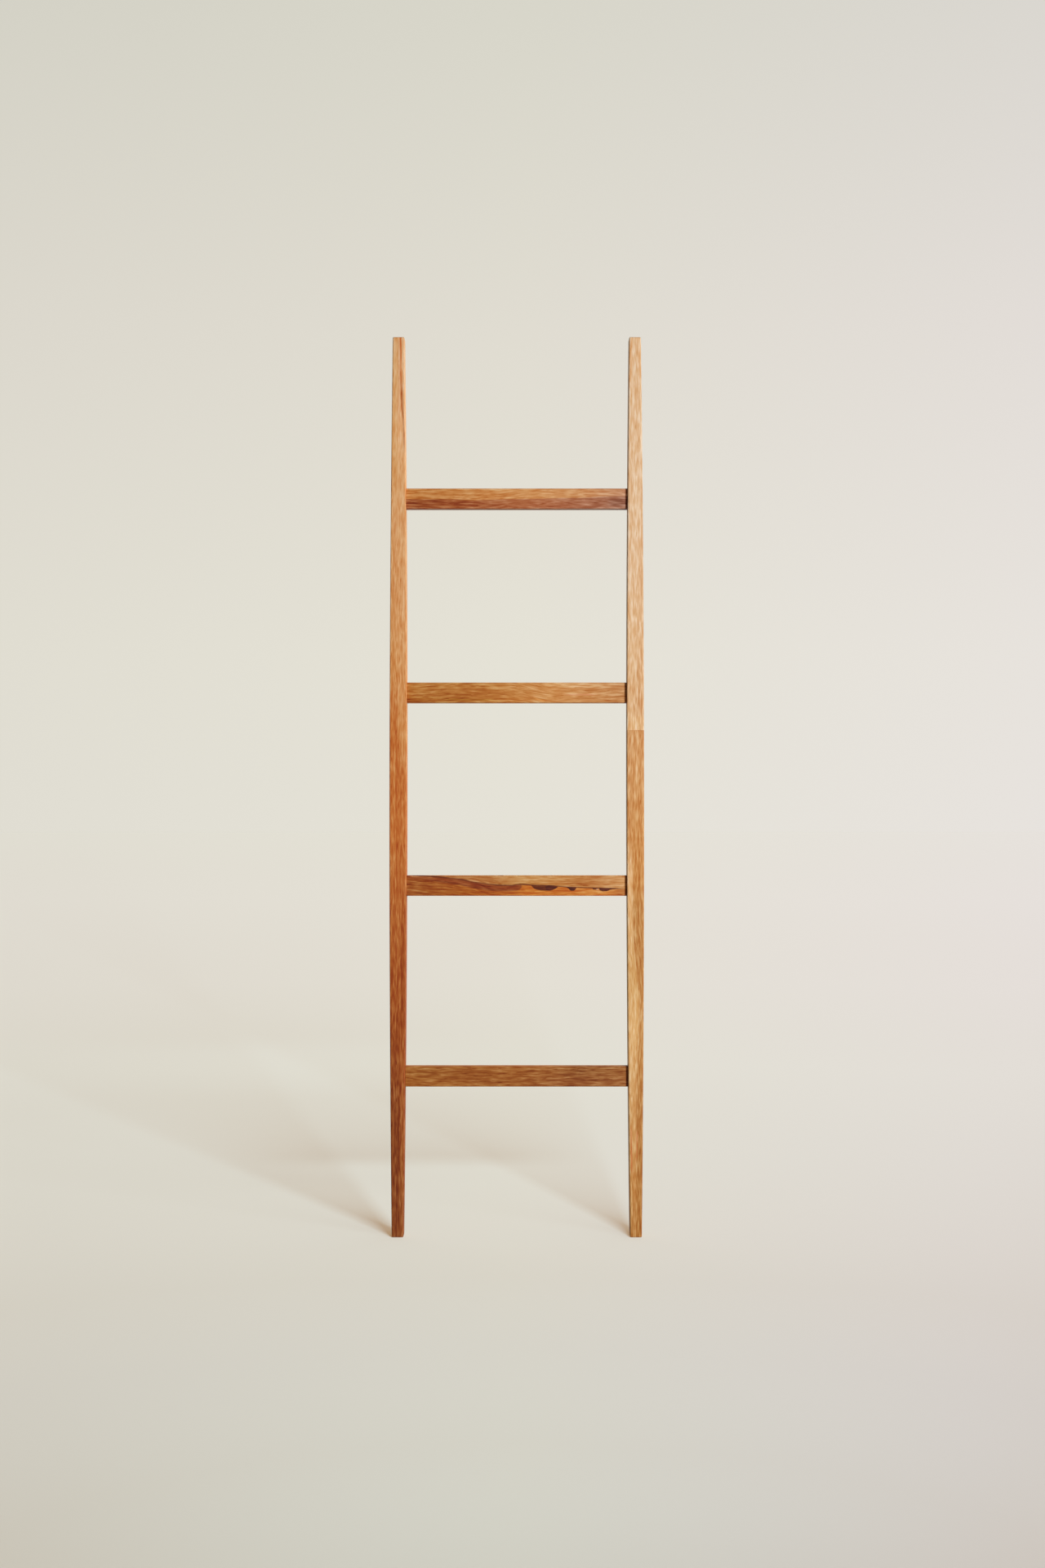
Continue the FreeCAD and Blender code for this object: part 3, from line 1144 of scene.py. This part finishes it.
@dataclass
class Rail:
    """One rail: widest at mid height, with both edges in long arcs, and every arris rounded."""

    centre: float
    length: float = 1.7
    end_width: float = 0.022
    bow: float = 0.00525
    depth: float = 0.035
    arris: float = 0.002
    arris_segments: int = 5
    rings: int = 48

    @property
    def bow_radius(self) -> float:
        """The radius of the arc that each edge follows."""
        return ((self.length / 2) ** 2 + self.bow**2) / (2 * self.bow)

    def half_width(self, height: float) -> float:
        """Half the rail's width at a height."""
        from_middle = height - self.length / 2
        return self.end_width / 2 + self.bow - (self.bow_radius - math.sqrt(self.bow_radius**2 - from_middle**2))

    def placing(self) -> Placing:
        """Where the rail lies, for its material."""
        return Placing(across=self.centre, half_depth=self.depth / 2, half_width=self.end_width / 2, bow=self.bow,
                       mid=self.length / 2, bow_radius=self.bow_radius)

    def shape(self, name: str, side: str) -> bpy.types.Object:
        """Shapes the whole rail from a rectangular blank.

        Args:
            name: The object's name.
            side: "left" or "right", as the nodes of its dowels say.

        Returns:
            The rail, with its arrises rounded and its dowel holes bored.
        """
        half = self.end_width / 2
        rail = block(name, Vector((self.centre - half, -self.depth / 2, 0.0)),
                     Vector((self.centre + half, self.depth / 2, self.length)))
        with editing(rail):
            pick(rail, "edges", lambda ends: abs(ends[0].z - ends[1].z) > self.length / 2)
            bpy.ops.mesh.subdivide(number_cuts=self.rings - 1)
        with editing(rail, "VERT"):
            for ring in range(1, self.rings):
                height = self.length * ring / self.rings
                bpy.ops.mesh.select_all(action="DESELECT")
                pick(rail, "verts", lambda at: abs(at[0].z - height) < EPSILON)
                bpy.ops.transform.resize(value=(self.half_width(height) / half, 1.0, 1.0),
                                         center_override=(self.centre, 0.0, height))
        with editing(rail):
            bpy.ops.mesh.edges_select_sharp(sharpness=ARRIS_FROM)
            round_edges(self.arris, self.arris_segments)
        DowelHoles().bore(rail, f"_dowel_{side}_")
        return rail


def dress(piece: bpy.types.Object, finish: BoardFinish, placing: Placing) -> None:
    """Gives a finished board its material, hides the model's part that it takes the place of, and attaches it to what
    it moves with.

    Args:
        piece: The finished board.
        finish: Its wood.
        placing: Where it lies.
    """
    smooth(piece)
    piece.data.materials.clear()
    piece.data.materials.append(finish.material(placing))
    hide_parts(finish.slot)
    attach(piece, "root")
    LOG.info("%s: %d faces, wood %s", piece.name, len(piece.data.polygons), finish.name)


@dataclass
class Rails:
    """Both rails: the left one in one length, and the right one glued up from two."""

    spacing: float = 0.4485

    def build(self) -> bpy.types.Object:
        """Builds and dresses the left rail and both lengths of the right one.

        Returns:
            The left rail.
        """
        left = Rail(-self.spacing / 2)
        board = left.shape("left_rail_board", "left")
        dress(board, LEFT_RAIL_WOOD, left.placing())

        right = Rail(self.spacing / 2)
        lower = right.shape("right_rail_lower_board", "right")
        upper = twin(lower, "right_rail_upper_board")
        space = FingerJoint().space_above(right)
        cut(lower, space)
        cut(upper, space, "INTERSECT")
        discard(space)
        dress(lower, RIGHT_RAIL_LOWER_WOOD, right.placing())
        dress(upper, RIGHT_RAIL_UPPER_WOOD, right.placing())
        return board


@dataclass
class Rung:
    """One flat rung, with its ends shaped to the bowed rails and its arrises rounded."""

    number: int
    finish: BoardFinish
    arris: float = 0.0015
    arris_segments: int = 5
    end_arris: float = 0.0004
    end_arris_segments: int = 3

    def build(self, rail: Rail, spacing: float) -> None:
        """Builds and dresses the rung.

        Args:
            rail: The shape that both rails share.
            spacing: The distance between the rails' middles.
        """
        node = f"rung_{self.number}"
        low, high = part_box(node)
        middle = (low.z + high.z) / 2
        reach = spacing / 2 - rail.half_width(middle)
        board = block(f"{node}_board", Vector((-reach, low.y, low.z)), Vector((reach, high.y, high.z)))
        with editing(board, "VERT"):
            for side in (-1, 1):
                for height in (low.z, high.z):
                    bpy.ops.mesh.select_all(action="DESELECT")
                    pick(board, "verts", lambda at: at[0].x * side > 0 and abs(at[0].z - height) < EPSILON)
                    shift = side * (rail.half_width(middle) - rail.half_width(height))
                    bpy.ops.transform.translate(value=(shift, 0.0, 0.0))
        with editing(board):
            pick(board, "edges", lambda ends: abs(ends[0].x - ends[1].x) > reach)
            round_edges(self.arris, self.arris_segments)
        with editing(board):
            pick(board, "edges", lambda ends: ends[0].x * ends[1].x > 0)
            round_edges(self.end_arris, self.end_arris_segments)
        DowelHoles().bore(board, f"{node}_dowel_")
        dress(board, self.finish, Placing(across=middle, half_depth=(high.y - low.y) / 2,
                                          half_width=(high.z - low.z) / 2, half_length=reach))


def dress_dowels() -> None:
    """Gives the hidden dowels their bare beech. They keep the shape that the model gives them."""
    beech = DowelFinish().material()
    for name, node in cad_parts.items():
        if "_dowel_" in name:
            node.data.materials.clear()
            node.data.materials.append(beech)
            LOG.info("%s: %s", name, beech.name)


# ---------------------------------------------------------------- the studio


class Lit(Enum):
    """What a lamp lights."""

    FLOOR = "floor"
    LADDER = "ladder"
    LEFT_RAIL = "left rail"


@dataclass(frozen=True)
class Lamp:
    """One soft oblong lamp that lights things as strongly near as far."""

    name: str
    place: Place
    width: float
    height: float
    level: float
    lit: Lit
    colour: Colour = (255, 255, 255)
    mirrored: bool = True
    aim: Place = (0.0, 0.0, 0.85)

    def build(self, floor: bpy.types.Object, left_rail: bpy.types.Object) -> None:
        """Adds the lamp, whose light on a surface that faces it is level times white.

        Args:
            floor: The studio floor, which the lamp may light alone or leave out.
            left_rail: The left rail, which the lamp may light alone.
        """
        data = bpy.data.lights.new(self.name, "AREA")
        data.shape = "RECTANGLE"
        data.size = self.width
        data.size_y = self.height
        data.energy = self.level * math.pi**2
        data.color = linear(self.colour)[:3]
        data.use_nodes = True
        nodes = Nodes(data.node_tree)
        even = nodes.add("LightFalloff")
        nodes.give(even, Strength=1.0)
        nodes.put_out("OutputLight", nodes.give(nodes.add("Emission"), Strength=even.outputs["Constant"]))
        lamp = bpy.data.objects.new(self.name, data)
        bpy.context.scene.collection.objects.link(lamp)
        lamp.visible_glossy = self.mirrored
        lamp.location = self.place
        lamp.rotation_euler = (Vector(self.aim) - Vector(self.place)).to_track_quat("-Z", "Y").to_euler()
        linked = bpy.data.collections.new(f"{self.name}_links")
        linked.objects.link(left_rail if self.lit is Lit.LEFT_RAIL else floor)
        linked.collection_objects[0].light_linking.link_state = "EXCLUDE" if self.lit is Lit.LADDER else "INCLUDE"
        lamp.light_linking.receiver_collection = linked


@dataclass(frozen=True)
class Studio:
    """A plain pale floor that meets a plain pale background, under soft light from the front right.

    The floor glows by itself in its tones, and its paint adds the lamps' light round the ladder, so that the ladder's
    shadow shows on it. Its tones go by the distance from the pool, as a share of that distance and the pool's reach
    together. The paint fades in behind the lamps and out to the sides.
    """

    half_size: float = 300.0
    fill: float = 0.08
    right_fill: float = 0.3
    right_range: tuple[float, float] = (-0.1, 0.9)
    back_fill: float = 0.85
    back_range: tuple[float, float] = (0.3, 0.95)
    fill_colour: Colour = (255, 253, 248)
    floor_bounce: Colour = (108, 108, 108)
    pool: tuple[float, float] = (0.0, -2.0)
    pool_reach: float = 4.0
    camera_behind: float = 1.5
    lit_from: tuple[float, float] = (-2.3, -1.85)
    lit_slant: tuple[float, float] = (0.3, 0.6)
    evened: tuple[float, float] = (0.76, 0.05)
    evened_over: tuple[float, float] = (0.06, 0.5)
    floor_paint: Tones = ((0.06, (140, 156, 154)), (0.22, (148, 164, 163)), (0.29, (157, 171, 171)),
                          (0.345, (160, 175, 175)), (0.44, (170, 188, 186)), (1.0, (170, 188, 186)))
    floor_tones: Tones = ((0.06, (145, 102, 55)), (0.14, (143, 92, 14)), (0.22, (148, 101, 48)),
                          (0.29, (150, 108, 52)), (0.345, (160, 124, 84)), (0.44, (168, 136, 107)),
                          (0.55, (185, 164, 143)), (0.68, (198, 182, 167)), (0.84, (208, 197, 185)),
                          (1.0, (214, 207, 195)))
    plain_tones: Tones = ((0.06, (208, 205, 194)), (0.12, (211, 209, 197)), (0.22, (215, 212, 200)),
                          (0.34, (220, 216, 205)), (0.55, (224, 220, 208)), (0.68, (227, 223, 212)),
                          (1.0, (229, 226, 215)))
    sky_tones: Tones = ((0.0, (229, 226, 215)), (0.08, (229, 226, 214)), (0.23, (224, 220, 209)),
                        (0.36, (216, 214, 202)), (1.0, (202, 199, 188)))
    left_tint: Linear = (0.955, 0.952, 0.953, 1.0)
    right_tint: Linear = (1.022, 1.006, 1.072, 1.0)
    tint_reach: float = 0.24
    lamps: tuple[Lamp, ...] = (
        Lamp("key_lamp", (1.75, -2.4, 1.0), 0.5, 0.8, 1.04, Lit.LADDER),
        Lamp("floor_lamp", (0.63, -2.38, 0.86), 0.68, 0.5, 2.77, Lit.FLOOR, (229, 244, 255)),
        Lamp("floor_side_lamp", (1.9, -2.5, 1.35), 1.6, 0.6, 0.34, Lit.FLOOR),
        Lamp("back_lamp", (0.9, 1.6, 3.4), 1.2, 1.2, 0.8, Lit.LADDER, mirrored=False),
        Lamp("left_lamp", (-2.6, 1.8, 1.2), 1.5, 1.5, 0.5, Lit.LEFT_RAIL, mirrored=False),
    )

    def build(self, left_rail: bpy.types.Object) -> None:
        """Builds the background, the floor and the lamps.

        Args:
            left_rail: The left rail, whose outer side has a lamp of its own.
        """
        self.background()
        floor = self.floor()
        for lamp in self.lamps:
            lamp.build(floor, left_rail)

    def sides(self, nodes: Nodes, slant: Socket) -> Socket:
        """Tints the floor and the background darker to the left and cooler to the right.

        Args:
            nodes: The nodes of the floor or of the background.
            slant: How far to the right a point lies for its distance.

        Returns:
            The tint to multiply by.
        """
        left = nodes.mix(nodes.spread(slant, -self.tint_reach, 0.0), self.left_tint, WHITE)
        return nodes.mix(nodes.spread(slant, 0.0, self.tint_reach), left, self.right_tint)

    def seen(self, nodes: Nodes) -> Socket:
        """Says whether a ray comes from the camera or a reflection, and isn't one that lights the object.

        Args:
            nodes: The nodes of the floor or of the background.

        Returns:
            1 for such a ray and 0 for another.
        """
        path = nodes.add("LightPath")
        return nodes.math("MAXIMUM", path.outputs["Is Camera Ray"],
                          nodes.math("MAXIMUM", path.outputs["Is Glossy Ray"], path.outputs["Is Transmission Ray"]))

    def background(self) -> None:
        """Makes the background look pale, and lights the ladder softly from it, most from behind and the right."""
        world = bpy.data.worlds.new("studio")
        bpy.context.scene.world = world
        world.use_nodes = True
        nodes = Nodes(world.node_tree)
        across, back, up = nodes.where("Generated")
        tones = nodes.tint(nodes.tones(up, self.sky_tones), self.sides(nodes, across))
        pale = nodes.give(nodes.add("Background"), Color=tones)
        level = nodes.total(self.fill, nodes.ease(across, *self.right_range, 0.0, self.right_fill),
                            nodes.ease(back, *self.back_range, 0.0, self.back_fill))
        fill = nodes.give(nodes.add("Background"), Color=linear(self.fill_colour), Strength=level)
        nodes.put_out("OutputWorld", nodes.give(nodes.add("MixShader"), self.seen(nodes), fill, pale))

    def floor(self) -> bpy.types.Object:
        """Makes the floor, which takes the ladder's shadow and meets the background without a line.

        Returns:
            The floor.
        """
        deselect_everything()
        bpy.ops.mesh.primitive_plane_add(size=2 * self.half_size, location=(0.0, 0.0, 0.0))
        floor = bpy.context.object
        floor.name = "studio_floor"
        material, nodes = new_material("pale_floor")
        x, y, _ = nodes.where()
        away = nodes.distance(nodes.minus(x, self.pool[0]), nodes.minus(y, self.pool[1]))
        share = nodes.math("DIVIDE", away, nodes.total(away, self.pool_reach))
        slant = nodes.math("DIVIDE", x, nodes.total(away, self.camera_behind))
        sides = self.sides(nodes, slant)
        lit = nodes.times(nodes.ease(y, *self.lit_from), nodes.ease(nodes.unsigned(slant), *self.lit_slant, 1.0, 0.0))
        under = nodes.mix(lit, nodes.tones(share, self.plain_tones), nodes.tones(share, self.floor_tones))
        seen = self.seen(nodes)
        glow = nodes.give(nodes.add("Emission"), Color=nodes.tint(under, sides), Strength=seen)
        even = nodes.minus(1.0, nodes.times(slant, nodes.spread(share, *self.evened_over, *self.evened)))
        paint = nodes.tint(nodes.tint(nodes.tint(nodes.tones(share, self.floor_paint), sides), even), lit)
        matt = nodes.give(nodes.add("BsdfDiffuse"), Color=nodes.mix(seen, linear(self.floor_bounce), paint))
        nodes.put_out("OutputMaterial", nodes.give(nodes.add("AddShader"), glow, matt))
        floor.data.materials.append(material)
        return floor


@dataclass(frozen=True)
class Viewpoint:
    """The camera that looks at the ladder's front."""

    place: Place = (0.01083, -4.0175, 0.7731)
    pitch: float = math.radians(1.137)
    lens: float = 48.666
    sensor: float = 36.0
    far: float = 1000.0

    def build(self) -> None:
        """Adds the camera and makes it the scene's own."""
        data = bpy.data.cameras.new("front_camera")
        data.lens = self.lens
        data.sensor_width = self.sensor
        data.clip_end = self.far
        camera = bpy.data.objects.new("front_camera", data)
        bpy.context.scene.collection.objects.link(camera)
        camera.location = self.place
        camera.rotation_euler = (math.pi / 2 + self.pitch, 0.0, 0.0)
        bpy.context.scene.camera = camera


def main() -> None:
    """Builds the ladder's pieces in order, then the studio round them."""
    logging.basicConfig(level=logging.INFO, format="%(name)s: %(message)s")
    bpy.context.scene.view_settings.view_transform = "Standard"
    Viewpoint().build()
    rails = Rails()
    left_rail = rails.build()
    woods = (RUNG_1_WOOD, RUNG_2_WOOD, RUNG_3_WOOD, RUNG_4_WOOD)
    for number, wood in enumerate(woods, start=1):
        Rung(number, wood).build(Rail(rails.spacing / 2), rails.spacing)
    dress_dowels()
    Studio().build(left_rail)


if __name__ == "__main__":
    main()
